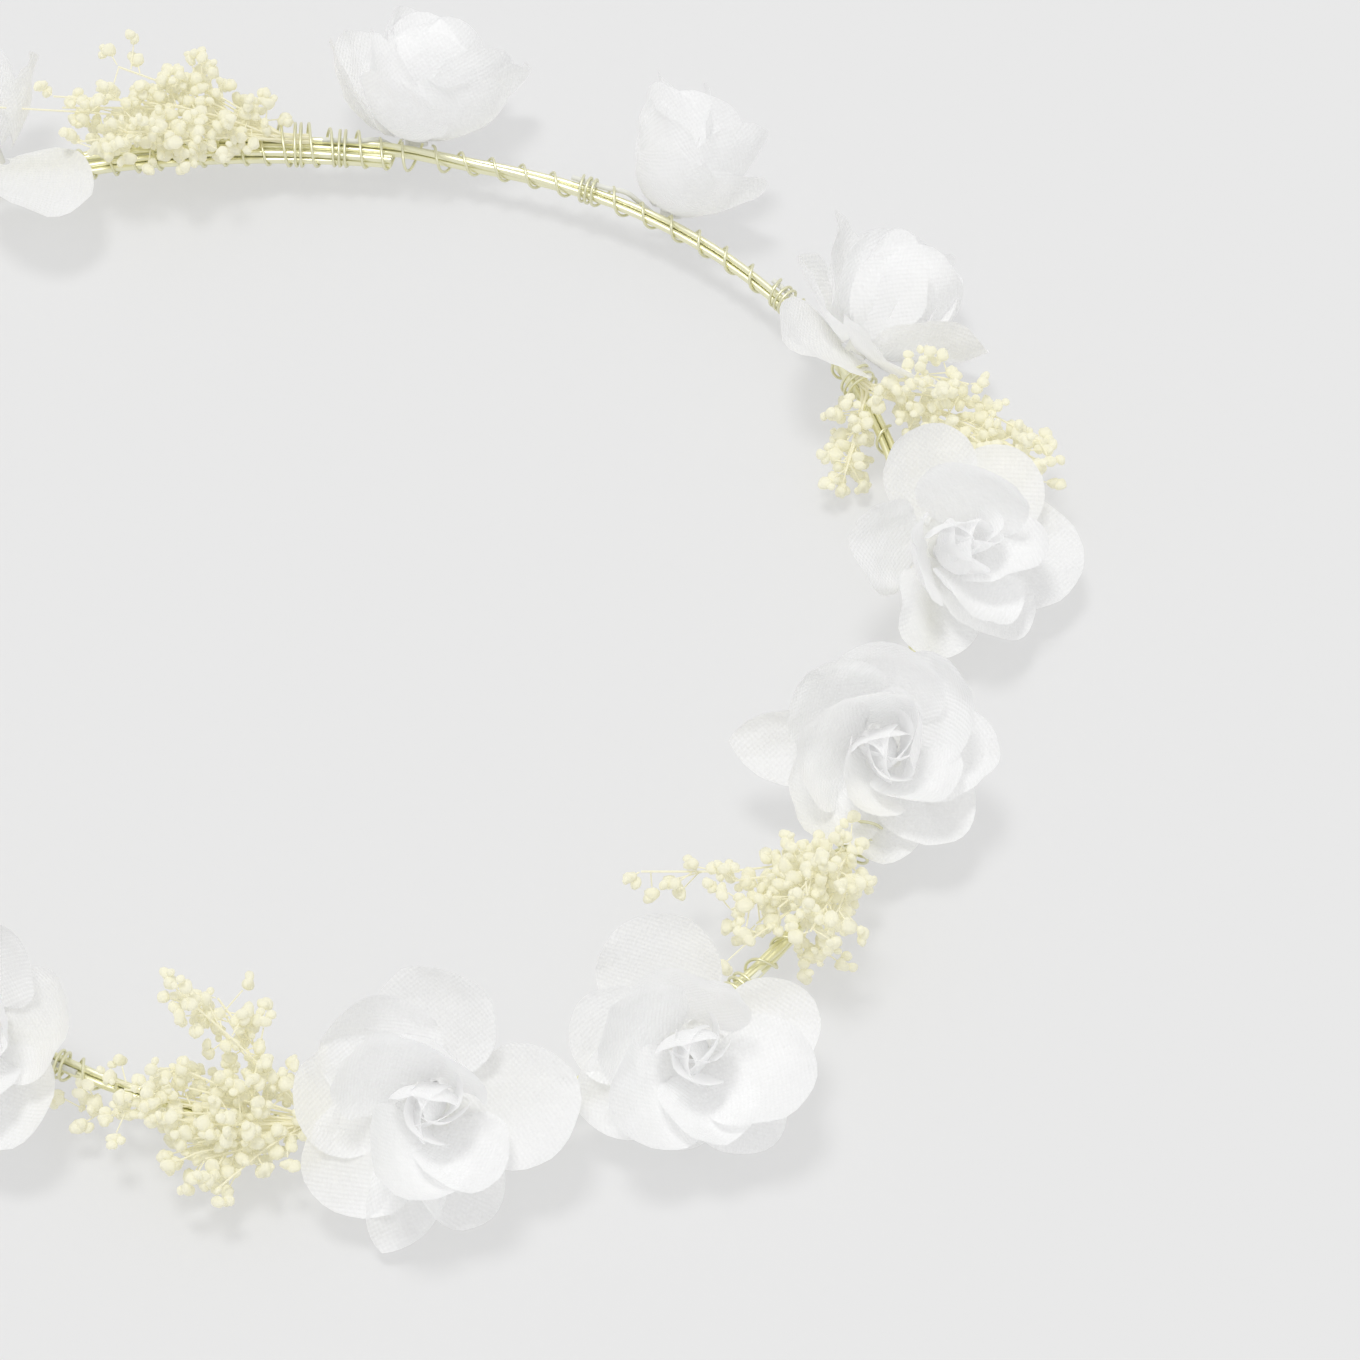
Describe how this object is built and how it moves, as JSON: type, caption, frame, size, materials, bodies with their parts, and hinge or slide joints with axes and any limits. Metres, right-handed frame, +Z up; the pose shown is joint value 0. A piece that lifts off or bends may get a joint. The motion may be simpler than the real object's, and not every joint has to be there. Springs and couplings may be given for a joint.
{
  "type": "flower crown",
  "caption": "Wire ring for the head, wound with thin wire that ties on fabric flowers and sprays of dried baby's breath.",
  "frame": {"origin": "middle of the outline of the whole crown, on the table that its lowest petals touch", "axes": "+Z up through the head opening, +Y towards the splice where the ring wires' ends meet, +X to the wearer's side"},
  "size_m": [0.235, 0.2142, 0.0321],
  "materials": {
    "ring_wire": "pale gilt, bright drawn surface",
    "binding_wire": "pale gilt, bright drawn surface",
    "stem_wire": "paper-covered florist's wire, matt white",
    "bead": "matt white",
    "petal_fabric": "fine plain-weave white cloth, stiffened",
    "dried_stalk": "dry, matt cream plant stalk",
    "dried_bud": "dry, matt cream flower bud"
  },
  "bodies": {
    "root": {"babys_breath_1_buds": "dried_bud", "babys_breath_1_stems": "dried_stalk", "babys_breath_2_buds": "dried_bud", "babys_breath_2_stems": "dried_stalk", "babys_breath_3_buds": "dried_bud", "babys_breath_3_stems": "dried_stalk", "babys_breath_4_buds": "dried_bud", "babys_breath_4_stems": "dried_stalk", "babys_breath_5_buds": "dried_bud", "babys_breath_5_stems": "dried_stalk", "babys_breath_6_buds": "dried_bud", "babys_breath_6_stems": "dried_stalk", "binding_wire_1": "binding_wire", "binding_wire_2": "binding_wire", "binding_wire_3": "binding_wire", "binding_wire_4": "binding_wire", "bud_rose_1_inner_petals": "petal_fabric", "bud_rose_1_middle_petals": "petal_fabric", "bud_rose_1_outer_petals": "petal_fabric", "bud_rose_2_inner_petals": "petal_fabric", "bud_rose_2_middle_petals": "petal_fabric", "bud_rose_2_outer_petals": "petal_fabric", "core_wire_1": "ring_wire", "core_wire_2": "ring_wire", "core_wire_3": "ring_wire", "flower_backings": "petal_fabric", "flower_hubs": "bead", "flower_stems": "stem_wire", "hydrangea_1_inner_petals": "petal_fabric", "hydrangea_1_middle_petals": "petal_fabric", "hydrangea_1_outer_petals": "petal_fabric", "hydrangea_2_inner_petals": "petal_fabric", "hydrangea_2_middle_petals": "petal_fabric", "hydrangea_2_outer_petals": "petal_fabric", "hydrangea_3_inner_petals": "petal_fabric", "hydrangea_3_middle_petals": "petal_fabric", "hydrangea_3_outer_petals": "petal_fabric", "magnolia_1_inner_petals": "petal_fabric", "magnolia_1_middle_petals": "petal_fabric", "magnolia_1_outer_petals": "petal_fabric", "peony_1_inner_petals": "petal_fabric", "peony_1_middle_petals": "petal_fabric", "peony_1_outer_petals": "petal_fabric", "peony_2_inner_petals": "petal_fabric", "peony_2_middle_petals": "petal_fabric", "peony_2_outer_petals": "petal_fabric", "peony_3_inner_petals": "petal_fabric", "peony_3_middle_petals": "petal_fabric", "peony_3_outer_petals": "petal_fabric", "rose_1_inner_petals": "petal_fabric", "rose_1_middle_petals": "petal_fabric", "rose_1_outer_petals": "petal_fabric", "rose_2_inner_petals": "petal_fabric", "rose_2_middle_petals": "petal_fabric", "rose_2_outer_petals": "petal_fabric", "rose_3_inner_petals": "petal_fabric", "rose_3_middle_petals": "petal_fabric", "rose_3_outer_petals": "petal_fabric"}
  },
  "joints": []
}
